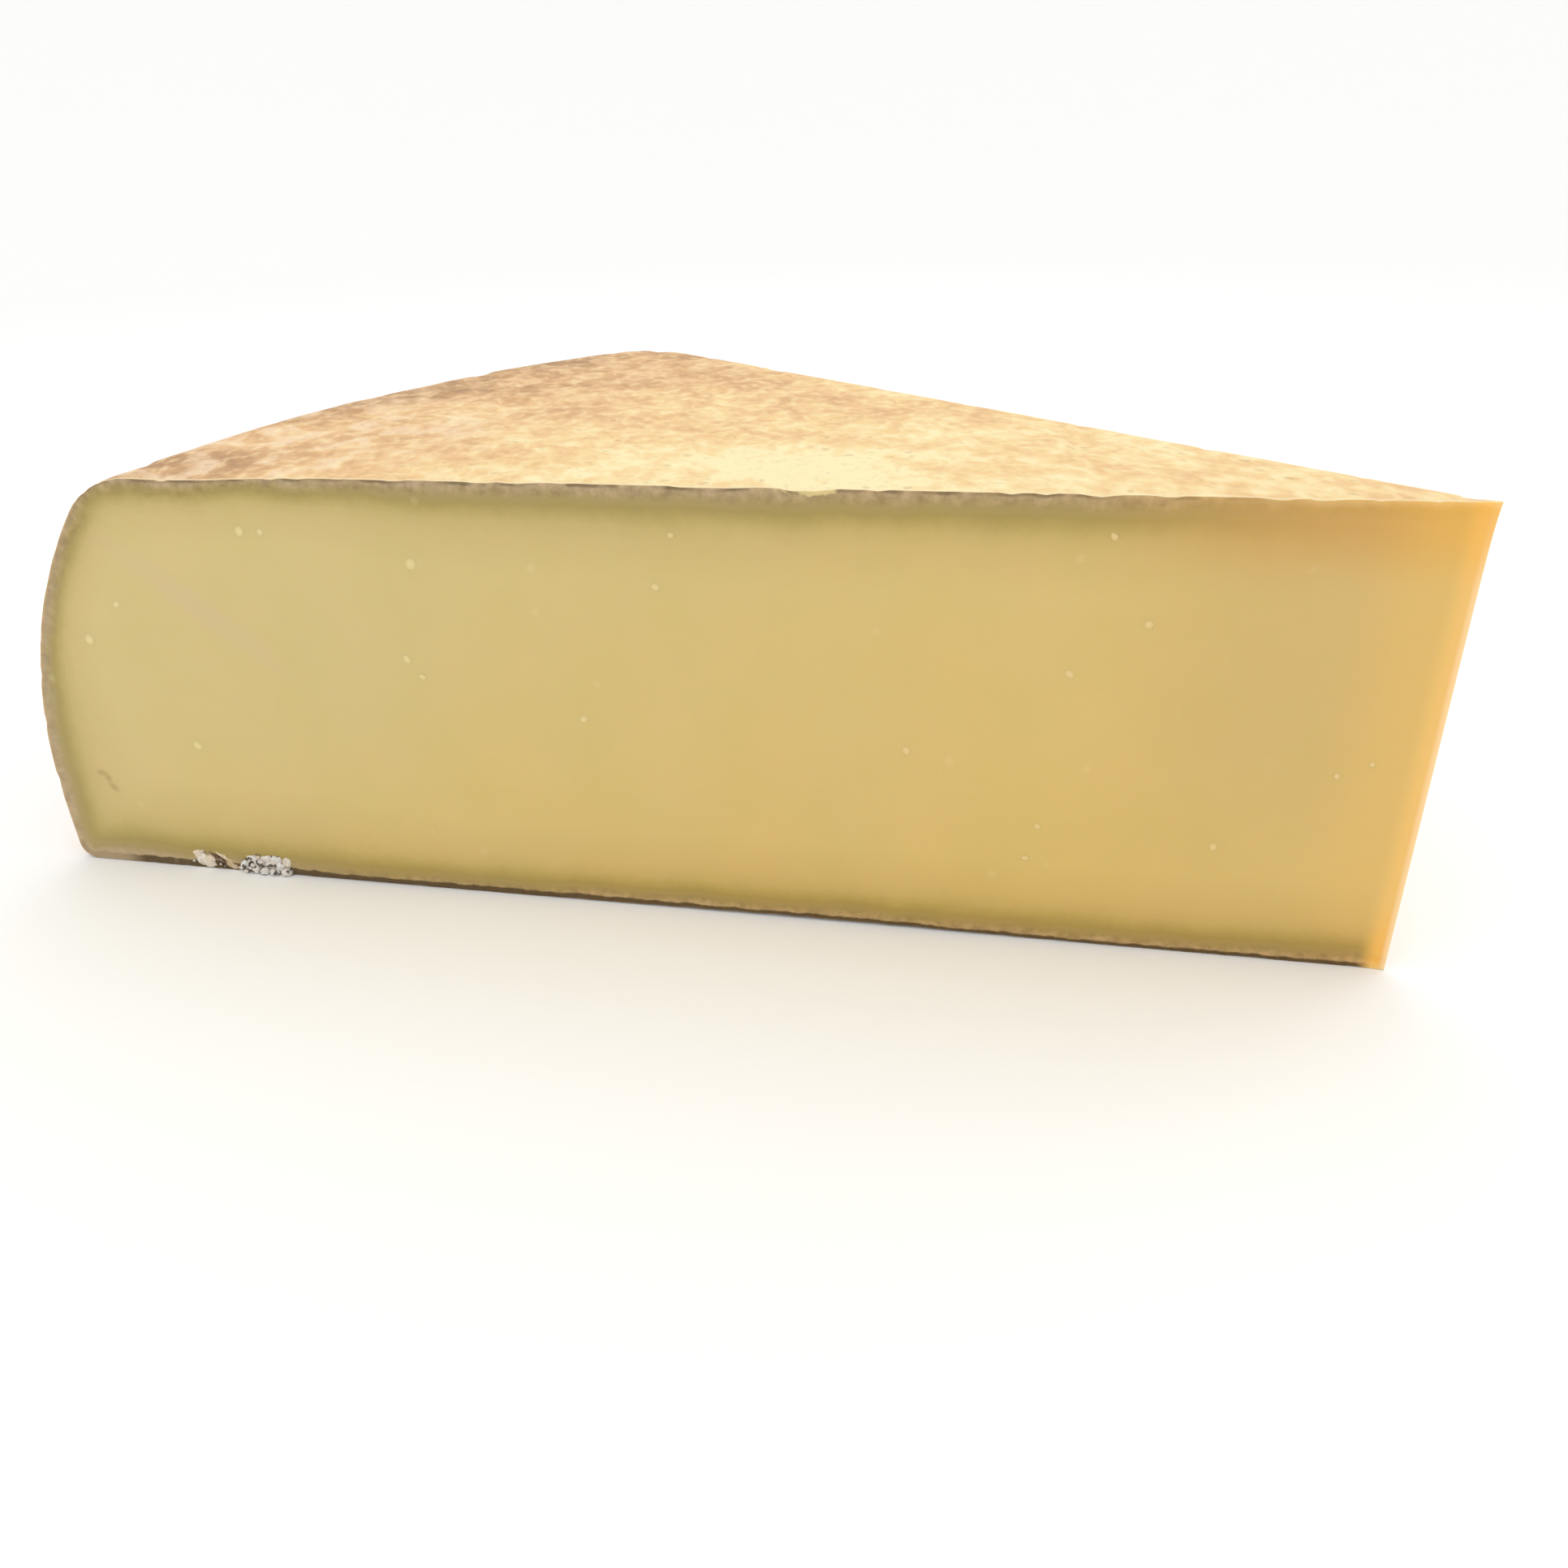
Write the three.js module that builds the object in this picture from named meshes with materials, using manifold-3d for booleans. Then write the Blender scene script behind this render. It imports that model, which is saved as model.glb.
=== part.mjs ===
// A wedge cut from a wheel of hard mountain cheese, lying on the flat side of the wheel.
// Rind and paste formed as one piece, so the wedge is one solid.
// Millimetres, +Z up. The origin is at the middle of the bounding box's underside.
// The front cut looks along -Y, the thin tip points along +X and the rinded heel is at -X.
import * as THREE from 'three';
import { mergeVertices } from 'three/addons/utils/BufferGeometryUtils.js';
import Module from 'manifold-3d';

// The wheel. Its rounded heel is widest near the foot, as a wheel settles on its shelf.
const WHEEL_HEIGHT = 100;
const WIDEST_RADIUS = 315;
const FLAT_TOP_RADIUS = 270.5;
const SHOULDER_RADIUS = 21.5;
const HEEL_SLOPE = THREE.MathUtils.degToRad(40.3);
const FOOT_RADIUS = 4.3;

// The cut. Both cuts are upright and meet on the wheel's axis.
const WEDGE_ANGLE = THREE.MathUtils.degToRad(40.7);

// How finely the round stretches are drawn.
const STEPS_AROUND_WHEEL = 180;
const STEPS_ON_SHOULDER = 8;
const STEPS_ON_HEEL = 12;
const STEPS_ON_FOOT = 4;

const QUARTER_TURN = Math.PI / 2;
const CUTTER_MARGIN = 20;
const MERGE_TOLERANCE = 1e-4;

const wasm = await Module();
wasm.setup();

// Points on an arc about (centreRadius, centreHeight), from one angle to another.
// The angle is 0 where the surface faces straight out and a quarter turn where it faces up.
function arcPoints(centreRadius, centreHeight, radius, fromAngle, toAngle, steps) {
  const points = [];
  for (let step = 0; step <= steps; step += 1) {
    const angle = THREE.MathUtils.lerp(fromAngle, toAngle, step / steps);
    const across = centreRadius + radius * Math.cos(angle);
    const up = centreHeight + radius * Math.sin(angle);
    points.push(new THREE.Vector2(across, up));
  }
  return points;
}

// Half of the wheel's section: flat underside, tight foot, an upright stretch, one long heel arc,
// and a shoulder arc tangent to both the heel and the flat top.
function wheelProfile() {
  const shoulderCentreHeight = WHEEL_HEIGHT - SHOULDER_RADIUS;
  const joinRadius = FLAT_TOP_RADIUS + SHOULDER_RADIUS * Math.cos(HEEL_SLOPE);
  const joinHeight = shoulderCentreHeight + SHOULDER_RADIUS * Math.sin(HEEL_SLOPE);
  const heelRadius = (WIDEST_RADIUS - joinRadius) / (1 - Math.cos(HEEL_SLOPE));
  const heelCentreRadius = WIDEST_RADIUS - heelRadius;
  const heelCentreHeight = joinHeight - heelRadius * Math.sin(HEEL_SLOPE);
  const footCentreRadius = WIDEST_RADIUS - FOOT_RADIUS;
  const foot = arcPoints(footCentreRadius, FOOT_RADIUS, FOOT_RADIUS, -QUARTER_TURN, 0, STEPS_ON_FOOT);
  const heel = arcPoints(heelCentreRadius, heelCentreHeight, heelRadius, 0, HEEL_SLOPE, STEPS_ON_HEEL);
  const shoulder = arcPoints(
    FLAT_TOP_RADIUS,
    shoulderCentreHeight,
    SHOULDER_RADIUS,
    HEEL_SLOPE,
    QUARTER_TURN,
    STEPS_ON_SHOULDER,
  );
  const underside = new THREE.Vector2(0, 0);
  const top = new THREE.Vector2(0, WHEEL_HEIGHT);
  return [underside, ...foot, ...heel, ...shoulder.slice(1), top];
}

// A closed geometry as a manifold solid, with its shared vertices merged.
function toSolid(geometry) {
  const bare = geometry.clone();
  bare.deleteAttribute('normal');
  bare.deleteAttribute('uv');
  const merged = mergeVertices(bare, MERGE_TOLERANCE);
  const vertProperties = new Float32Array(merged.attributes.position.array);
  const triVerts = new Uint32Array(merged.index.array);
  return new wasm.Manifold(new wasm.Mesh({ numProp: 3, vertProperties, triVerts }));
}

function toGeometry(solid) {
  const mesh = solid.getMesh();
  const geometry = new THREE.BufferGeometry();
  geometry.setAttribute('position', new THREE.BufferAttribute(mesh.vertProperties, 3));
  geometry.setIndex(new THREE.BufferAttribute(mesh.triVerts, 1));
  geometry.computeVertexNormals();
  return geometry;
}

// The whole wheel, standing on z = 0 about the Z axis. The facets start half a step off the cuts.
function wheelGeometry() {
  const halfStep = Math.PI / STEPS_AROUND_WHEEL;
  const geometry = new THREE.LatheGeometry(wheelProfile(), STEPS_AROUND_WHEEL, halfStep);
  geometry.rotateX(QUARTER_TURN);
  return geometry;
}

// A three-cornered prism that reaches past the heel, the top and the underside.
function wedgePrismGeometry() {
  const reach = 2 * WIDEST_RADIUS;
  const outline = new THREE.Shape();
  outline.moveTo(0, 0);
  outline.lineTo(-reach * Math.cos(WEDGE_ANGLE), reach * Math.sin(WEDGE_ANGLE));
  outline.lineTo(-reach, 0);
  outline.closePath();
  const depth = WHEEL_HEIGHT + 2 * CUTTER_MARGIN;
  const geometry = new THREE.ExtrudeGeometry(outline, { depth, bevelEnabled: false });
  geometry.translate(0, 0, -CUTTER_MARGIN);
  return geometry;
}

// The part of the wheel between the two cuts, moved so that its box stands centred on the origin.
function wedgeGeometry() {
  const wedge = toSolid(wheelGeometry()).intersect(toSolid(wedgePrismGeometry()));
  const geometry = toGeometry(wedge);
  geometry.computeBoundingBox();
  const middle = geometry.boundingBox.getCenter(new THREE.Vector3());
  geometry.translate(-middle.x, -middle.y, -geometry.boundingBox.min.z);
  return geometry;
}

const cheese = new THREE.MeshStandardMaterial({ color: 0xd8bd7c, roughness: 0.55, metalness: 0 });
const wedgeMesh = new THREE.Mesh(wedgeGeometry(), cheese);
wedgeMesh.name = 'cheese_wedge';

const group = new THREE.Group();
group.add(wedgeMesh);

export default group;
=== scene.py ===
import math
import bpy
import numpy as np
from mathutils import Matrix, Vector


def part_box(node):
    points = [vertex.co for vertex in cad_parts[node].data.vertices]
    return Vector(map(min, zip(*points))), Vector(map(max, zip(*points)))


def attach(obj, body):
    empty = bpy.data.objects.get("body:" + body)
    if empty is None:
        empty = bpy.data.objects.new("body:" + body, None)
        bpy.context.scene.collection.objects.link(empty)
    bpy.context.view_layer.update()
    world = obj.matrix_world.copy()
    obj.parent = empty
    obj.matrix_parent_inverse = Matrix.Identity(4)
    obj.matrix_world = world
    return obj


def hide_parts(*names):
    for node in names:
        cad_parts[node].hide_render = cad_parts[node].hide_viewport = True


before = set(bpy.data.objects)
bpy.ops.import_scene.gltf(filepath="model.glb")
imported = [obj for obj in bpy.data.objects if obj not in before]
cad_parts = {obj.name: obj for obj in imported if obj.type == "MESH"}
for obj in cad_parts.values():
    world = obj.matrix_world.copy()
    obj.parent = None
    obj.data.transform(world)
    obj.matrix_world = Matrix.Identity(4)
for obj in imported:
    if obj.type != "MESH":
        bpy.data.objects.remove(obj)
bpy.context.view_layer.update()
wedgeLow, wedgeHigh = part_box("cheese_wedge")
print("frame loaded")

mm = 0.001
tip = np.array([wedgeHigh.x, wedgeLow.y])  # plan place of the wheel's axis, where both cuts meet
height = wedgeHigh.z
reach = wedgeHigh.x - wedgeLow.x  # widest radius of the wheel
cutAngle = math.asin((wedgeHigh.y - wedgeLow.y) / reach)

# the wheel that the wedge was cut from
wheel = {
    "flatTopRadius": 270.5 * mm,
    "shoulderRadius": 21.5 * mm,
    "heelSlope": math.radians(40.3),
    "footRadius": 4.3 * mm,
    "tipRadius": 0.45 * mm,  # how blunt the knife left the thin edge
    "tipBeyond": 0.15 * mm,  # how far it stands out past the axis
    "tipFlare": 0.5 * mm,  # a small burr at its top
    "tipFlareDepth": 4 * mm,
}


# shapes: small tools

# steps from 0 to 1, drawn closer at both ends: u - pull * sin(2 pi u) / (2 pi)
def gatheredSteps(count, pull):
    even = np.linspace(0, 1, count + 1)
    return even - pull * np.sin(2 * np.pi * even) / (2 * np.pi)


# 0 below low, 1 above high, and s * s * (3 - 2 s) between
def easeBetween(values, low, high):
    share = np.clip((values - low) / (high - low), 0, 1)
    return share * share * (3 - 2 * share)


# centre + radius * (cos, sin) from one angle to another
def arcPoints(centre, radius, start, end, count=24):
    angles = np.linspace(start, end, count)
    return np.stack([centre[0] + radius * np.cos(angles), centre[1] + radius * np.sin(angles)], axis=1)


# the points that lie at these shares of a path's length
def alongPath(points, shares):
    steps = np.linalg.norm(np.diff(points, axis=0), axis=1)
    travelled = np.concatenate([[0], np.cumsum(steps)]) / steps.sum()
    columns = [np.interp(shares, travelled, points[:, axis]) for axis in range(points.shape[1])]
    return np.stack(columns, axis=1)


# random values from -1 to 1 on a cubic lattice of that cell size, eased between the eight corners
def latticeNoise(places, cell, seed):
    side = 48
    values = np.random.default_rng(seed).uniform(-1, 1, (side, side, side))
    scaled = places / cell
    corner = np.floor(scaled).astype(int)
    share = easeBetween(scaled - corner, 0, 1)
    total = np.zeros(places.shape[:-1])
    for step in np.ndindex(2, 2, 2):
        weight = np.prod(np.where(step, share, 1 - share), axis=-1)
        index = (corner + step) % side
        total += weight * values[index[..., 0], index[..., 1], index[..., 2]]
    return total


# a grid of points as quads: corner numbers of every cell, turned over if asked
def gridQuads(rows, columns, turnedOver):
    number = np.arange(rows * columns).reshape(rows, columns)
    corners = [number[:-1, :-1], number[:-1, 1:], number[1:, 1:], number[1:, :-1]]
    quads = np.stack(corners, axis=-1).reshape(-1, 4)
    return quads[:, ::-1] if turnedOver else quads


# writes a mesh from whole arrays, every face with the same number of corners
def meshObject(name, points, faces, finishes, finishOfFace=None):
    mesh = bpy.data.meshes.new(name)
    corners = faces.shape[1]
    mesh.vertices.add(len(points))
    mesh.vertices.foreach_set("co", points.astype(np.float32).ravel())
    mesh.loops.add(faces.size)
    mesh.loops.foreach_set("vertex_index", faces.astype(np.int32).ravel())
    mesh.polygons.add(len(faces))
    mesh.polygons.foreach_set("loop_start", np.arange(0, faces.size, corners, dtype=np.int32))
    for finish in finishes:
        mesh.materials.append(finish)
    if finishOfFace is not None:
        mesh.polygons.foreach_set("material_index", finishOfFace.astype(np.int32))
    mesh.update(calc_edges=True)
    mesh.validate()
    mesh.shade_smooth()
    made = bpy.data.objects.new(name, mesh)
    bpy.context.scene.collection.objects.link(made)
    return made


# keeps one number for each point, for the finishes to read
def storeValues(made, name, values):
    attribute = made.data.attributes.new(name, "FLOAT", "POINT")
    attribute.data.foreach_set("value", values.astype(np.float32).ravel())


# finishes: small tools

# a colour as seen on a screen, 0 to 255, turned into linear light
def paint(red, green, blue):
    seen = np.array([red, green, blue]) / 255
    linear = np.where(seen <= 0.04045, seen / 12.92, ((seen + 0.055) / 1.055) ** 2.4)
    return (*linear.tolist(), 1.0)


def setInput(tree, socket, value):
    if isinstance(value, bpy.types.NodeSocket):
        tree.links.new(value, socket)
    else:
        socket.default_value = value


def mathNode(tree, operation, first, second, clamped=False):
    node = tree.nodes.new("ShaderNodeMath")
    node.operation = operation
    node.use_clamp = clamped
    setInput(tree, node.inputs[0], first)
    setInput(tree, node.inputs[1], second)
    return node.outputs[0]


def plusNode(tree, total, *others):
    for other in others:
        total = mathNode(tree, "ADD", total, other)
    return total


def timesNode(tree, product, *others):
    for other in others:
        product = mathNode(tree, "MULTIPLY", product, other)
    return product


def minusNode(tree, first, second):
    return mathNode(tree, "SUBTRACT", first, second)


# high * share + low * (1 - share)
def betweenNode(tree, share, low, high):
    return plusNode(tree, timesNode(tree, high, share), timesNode(tree, low, minusNode(tree, 1.0, share)))


# 0 below low, 1 above high, eased between; low may be the larger one
def easeNode(tree, value, low, high, fromValue=0.0, toValue=1.0):
    node = tree.nodes.new("ShaderNodeMapRange")
    node.interpolation_type = "SMOOTHSTEP"
    for socket, number in zip(node.inputs[:5], (value, low, high, fromValue, toValue)):
        setInput(tree, socket, number)
    return node.outputs[0]


def colourNode(tree, share, first, second, mode="MIX"):
    node = tree.nodes.new("ShaderNodeMix")
    node.data_type = "RGBA"
    node.blend_type = mode
    setInput(tree, node.inputs[0], share)
    setInput(tree, node.inputs[6], first)
    setInput(tree, node.inputs[7], second)
    return node.outputs[2]


# stops are (place from 0 to 1, colour)
def rampNode(tree, value, stops):
    node = tree.nodes.new("ShaderNodeValToRGB")
    setInput(tree, node.inputs[0], value)
    elements = node.color_ramp.elements
    while len(elements) < len(stops):
        elements.new(1.0)
    for element, (place, colour) in zip(elements, stops):
        element.position = place
        element.color = colour
    return node.outputs[0]


# cloudy noise with features about `size` metres across, from 0 to 1
def cloudNode(tree, places, size, detail=2.0, coarseness=0.5, twist=0.0):
    node = tree.nodes.new("ShaderNodeTexNoise")
    setInput(tree, node.inputs["Vector"], places)
    node.inputs["Scale"].default_value = 1 / size
    node.inputs["Detail"].default_value = detail
    node.inputs["Roughness"].default_value = coarseness
    node.inputs["Distortion"].default_value = twist
    return node.outputs[0]


# distance to scattered points about `spacing` metres apart, in metres
def scatterNode(tree, places, spacing):
    node = tree.nodes.new("ShaderNodeTexVoronoi")
    setInput(tree, node.inputs["Vector"], places)
    node.inputs["Scale"].default_value = 1 / spacing
    return timesNode(tree, node.outputs["Distance"], spacing)


def bumpNode(tree, relief, depth, strength=1.0, before=None):
    node = tree.nodes.new("ShaderNodeBump")
    node.inputs["Strength"].default_value = strength
    node.inputs["Distance"].default_value = depth
    setInput(tree, node.inputs["Height"], relief)
    if before is not None:
        setInput(tree, node.inputs["Normal"], before)
    return node.outputs[0]


# object coordinates moved, turned and scaled so that a spot sits at the origin
def placesNode(tree, origin=(0, 0, 0), turn=(0, 0, 0), scale=(1, 1, 1)):
    source = tree.nodes.new("ShaderNodeTexCoord")
    node = tree.nodes.new("ShaderNodeMapping")
    node.vector_type = "TEXTURE"
    tree.links.new(source.outputs["Object"], node.inputs["Vector"])
    node.inputs["Location"].default_value = origin
    node.inputs["Rotation"].default_value = turn
    node.inputs["Scale"].default_value = scale
    return node.outputs[0]


def lengthNode(tree, vector, keep=(1, 1, 1)):
    kept = tree.nodes.new("ShaderNodeVectorMath")
    kept.operation = "MULTIPLY"
    tree.links.new(vector, kept.inputs[0])
    kept.inputs[1].default_value = keep
    node = tree.nodes.new("ShaderNodeVectorMath")
    node.operation = "LENGTH"
    tree.links.new(kept.outputs[0], node.inputs[0])
    return node.outputs["Value"]


def heightNode(tree, vector):
    node = tree.nodes.new("ShaderNodeSeparateXYZ")
    tree.links.new(vector, node.inputs[0])
    return node.outputs["Z"]


# a number that storeValues kept for each point
def storedNode(tree, name):
    node = tree.nodes.new("ShaderNodeAttribute")
    node.attribute_name = name
    return node.outputs["Fac"]


def newFinish(name):
    finish = bpy.data.materials.new(name)
    finish.use_nodes = True
    shader = finish.node_tree.nodes["Principled BSDF"]
    return finish, finish.node_tree, shader


# paste: the smooth cut cheese, dark and olive under the rind, golden at the thin tip

paste = {
    "heelTone": paint(206, 186, 126),  # pale greenish straw by the heel and the top
    "middleTone": paint(215, 184, 108),  # warm tan towards the tip and the underside
    "tipTone": paint(208, 178, 110),
    "tipReach": (72 * mm, 32 * mm),
    "rise": 0.55,  # how much the heel tone gains towards the top
    "toneClouds": (42 * mm, 0.4),  # size and strength
    "veinClouds": 18 * mm,
    "veins": (
        (0.32, (0.985, 0.99, 0.955, 1)),
        (0.50, (1.0, 1.0, 1.0, 1)),
        (0.68, (1.02, 1.005, 1.02, 1)),
    ),
    "glows": (  # golden light towards the thin edge: where it starts, where it is full, tone
        (24 * mm, 5 * mm, paint(219, 182, 105)),
        (5.5 * mm, 1.6 * mm, paint(232, 191, 108)),
    ),
    "edgeLine": paint(243, 207, 152),  # the very edge, where light comes through
    "edgeReach": (1.4 * mm, 0.4 * mm),
    "sheenStreak": (262 * mm, 70 * mm, 0.67),  # a greyish streak of painted sheen: from the tip, up, turn
    "sheenStreakSize": (36 * mm, 5 * mm, 5 * mm),
    "sheenStreakTone": paint(205, 182, 138),
    # the band under the rind, from the rind to where it ends, as shares of the tone
    "band": (
        (0.0, (0.72, 0.69, 0.96, 1)),
        (0.07, (0.67, 0.64, 0.79, 1)),
        (0.13, (0.62, 0.60, 0.57, 1)),
        (0.22, (0.60, 0.58, 0.41, 1)),
        (0.31, (0.72, 0.705, 0.54, 1)),
        (0.41, (0.86, 0.84, 0.76, 1)),
        (0.56, (0.94, 0.92, 0.89, 1)),
        (1.0, (1, 1, 1, 1)),
    ),
    # how deep the band reaches: at the top, there by the heel, at the foot, there by the heel
    "bandDepths": (20 * mm, 12.5 * mm, 20 * mm, 23 * mm),
    "topHeelReach": (170 * mm, 270 * mm),  # distances from the tip between which one turns into the other
    "footHeelReach": (268 * mm, 298 * mm),
    "bandFadeTop": (12 * mm, 76 * mm),  # distances from the tip over which the band comes in
    "bandFadeFoot": (2 * mm, 6 * mm),
    "tipBand": (0.97, 0.80, 0.62, 1),
    "tipBandEnd": (1.04, 0.91, 0.62, 1),
    "tipRim": (1.12, 1.03, 1.06, 1),
    "wobble": 1.3 * mm,  # how unevenly the band runs, in clouds of two sizes
    "wobbleClouds": (14 * mm, 2.4 * mm),
    "crustDepth": 2.4 * mm,
    "crust": (
        (0.34, (0.82, 0.78, 0.76, 1)),
        (0.50, (1.0, 1.0, 1.0, 1)),
        (0.66, (1.20, 1.16, 1.28, 1)),
    ),
    "crustClouds": 2.6 * mm,
    "footCrust": (0.88, 0.86, 1.3, 1),  # greyer low down towards the heel
    "footCrustHeight": (5.5 * mm, 3.5 * mm),
    "footCrustReach": (230 * mm, 270 * mm, 0.0, 0.5),
    "heelCrust": (0.76, 0.76, 1.1, 1),
    "heelCrustReach": (288 * mm, 300 * mm, 0.0, 0.3),
    # the same tone paints the foot line, where it is painted shade of the gap under the wedge over the
    # rind's dark lower edge
    "lineAndShadeTone": (0.15, 0.12, 0.11, 1),  # thin dark lines at the very rind
    "lineDepth": 0.6 * mm,
    "lineClouds": 9 * mm,
    "lineReach": (292 * mm, 276 * mm),
    # the foot line: painted shade of the gap under the wedge over the rind's dark lower edge
    "footLineAndShadeTurn": (140 * mm, 210 * mm),
    "footLineAndShadeDepths": (0.9 * mm, 1.65 * mm),  # towards the tip, towards the heel
    "footLineAndShadeHeel": (303 * mm, 296 * mm, 0.3, 1.0),
    "notchTone": (1.15, 1.20, 1.45, 1),  # pale rind pulled over the crust where the knife slipped
    "grains": (17 * mm, 2.3 * mm, 1.0 * mm),  # below the surface: spacing, outer and inner radius
    "grainTone": paint(238, 220, 170),
    # painted shade in the hollow behind the main crumb
    "hollowShadeTone": paint(112, 92, 66),
    "slits": (  # from the tip, up, turn, half length
        (301.4 * mm, 25.6 * mm, 0.15, 2.2 * mm),
        (300.0 * mm, 24.2 * mm, 1.45, 1.7 * mm),
        (299.3 * mm, 21.8 * mm, 0.83, 2.6 * mm),
    ),
    "slitWidth": 1.5 * mm,
    "slitTone": paint(158, 134, 76),
    "sheenClouds": 30 * mm,
    "roughness": (0.41, 0.53),
    "crustRoughness": 0.82,
    "ripples": (5 * mm, 0.08 * mm),  # size and rise
    "crumble": 0.7 * mm,
    "subsurface": 0.35,
    "subsurfaceDepth": 1.8 * mm,
    "subsurfaceReach": (1.0, 0.55, 0.2),
}


# distance from a place on the front cut in half sizes of a stretched ball: 0 at its centre, 1 at its skin
def aroundNode(tree, along, lift, halfSizes, turn=0.0):
    places = placesNode(tree, origin=(tip[0] - along, tip[1], lift), turn=(0, turn, 0), scale=halfSizes)
    return lengthNode(tree, places)


# the open paste: heel tone to middle tone, along the wedge and down it, in soft clouds
def openPasteTone(tree, places, fromTip, upShare):
    cloudSize, cloudStrength = paste["toneClouds"]
    alongShare = mathNode(tree, "DIVIDE", fromTip, reach)
    slope = plusNode(tree, alongShare, timesNode(tree, upShare, paste["rise"]))
    clouds = cloudNode(tree, places, cloudSize, detail=1.5)
    cloudy = plusNode(tree, slope, timesNode(tree, clouds, cloudStrength))
    body = colourNode(tree, easeNode(tree, cloudy, 0.45, 1.45), paste["middleTone"], paste["heelTone"])
    tipShare = timesNode(tree, easeNode(tree, fromTip, *paste["tipReach"]),
                         easeNode(tree, upShare, 0.1, 0.6, 0.25, 1.0))
    body = colourNode(tree, tipShare, body, paste["tipTone"])
    veins = rampNode(tree, cloudNode(tree, places, paste["veinClouds"], detail=3.0), paste["veins"])
    body = colourNode(tree, 1.0, body, veins, "MULTIPLY")
    # painted sheen: a greyish streak of reflected light across the cut
    along, lift, turn = paste["sheenStreak"]
    inSheenStreak = aroundNode(tree, along, lift, paste["sheenStreakSize"], turn)
    body = colourNode(tree, easeNode(tree, inSheenStreak, 1.0, 0.2, 0.0, 0.5), body, paste["sheenStreakTone"])
    for start, full, tone in paste["glows"]:
        body = colourNode(tree, easeNode(tree, fromTip, start, full), body, tone)
    return body


# the band's share of the tone: crust, olive, then fading out; deeper or shallower by the heel
def bandTone(tree, fromTip, up, upper, moved, crustShare, streaks):
    topDepth, topHeelDepth, footDepth, footHeelDepth = paste["bandDepths"]
    heelward = easeNode(tree, fromTip, *paste["topHeelReach"])
    aboveDepth = easeNode(tree, heelward, 0.0, 1.0, topDepth, topHeelDepth)
    belowDepth = easeNode(tree, fromTip, *paste["footHeelReach"], footDepth, footHeelDepth)
    bandDepth = betweenNode(tree, upper, belowDepth, aboveDepth)
    band = rampNode(tree, mathNode(tree, "DIVIDE", moved, bandDepth, clamped=True), paste["band"])
    streaked = colourNode(tree, 1.0, band, rampNode(tree, streaks, paste["crust"]), "MULTIPLY")
    band = colourNode(tree, crustShare, band, streaked)
    footShare = timesNode(tree, crustShare, easeNode(tree, up, *paste["footCrustHeight"]),
                          easeNode(tree, fromTip, *paste["footCrustReach"]))
    band = colourNode(tree, footShare, band, paste["footCrust"])
    heelShare = timesNode(tree, crustShare, easeNode(tree, fromTip, *paste["heelCrustReach"]))
    return colourNode(tree, heelShare, band, paste["heelCrust"])


# thin dark lines at the very rind: broken ones all round, and a deeper one at the foot that is painted
# shade of the gap under the wedge over the rind's dark lower edge
def lineAndShadeTone(tree, places, fromTip, upShare, lineDepth, band):
    broken = easeNode(tree, cloudNode(tree, places, paste["lineClouds"]), 0.42, 0.58, 0.0, 0.6)
    inLine = easeNode(tree, lineDepth, paste["lineDepth"] + 0.3 * mm, paste["lineDepth"] - 0.3 * mm)
    lineShare = timesNode(tree, inLine, broken, easeNode(tree, fromTip, *paste["lineReach"]))
    band = colourNode(tree, lineShare, band, paste["lineAndShadeTone"])
    # the foot line: painted shade of the gap under the wedge over the rind's dark lower edge
    footDepth = easeNode(tree, fromTip, *paste["footLineAndShadeTurn"], *paste["footLineAndShadeDepths"])
    inFootLineAndShade = easeNode(tree, minusNode(tree, lineDepth, footDepth), 0.25 * mm, -0.25 * mm, 0.0, 0.95)
    footShare = timesNode(tree, inFootLineAndShade, easeNode(tree, upShare, 0.06, 0.04),
                          easeNode(tree, fromTip, *paste["footLineAndShadeHeel"]))
    return colourNode(tree, footShare, band, paste["lineAndShadeTone"])


# near the tip the band turns golden and fades, sooner at the top than at the foot
def fadedBandTone(tree, fromTip, upper, moved, band):
    tipward = easeNode(tree, fromTip, 20 * mm, 5 * mm)
    golden = colourNode(tree, tipward, paste["tipBand"], paste["tipBandEnd"])
    tipBand = colourNode(tree, easeNode(tree, moved, 18 * mm, 4 * mm), (1, 1, 1, 1), golden)
    tipBand = colourNode(tree, easeNode(tree, moved, 1.7 * mm, 0.1 * mm), tipBand, paste["tipRim"])
    fade = betweenNode(tree, upper, easeNode(tree, fromTip, *paste["bandFadeFoot"]),
                       easeNode(tree, fromTip, *paste["bandFadeTop"]))
    return colourNode(tree, fade, tipBand, band)


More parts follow.
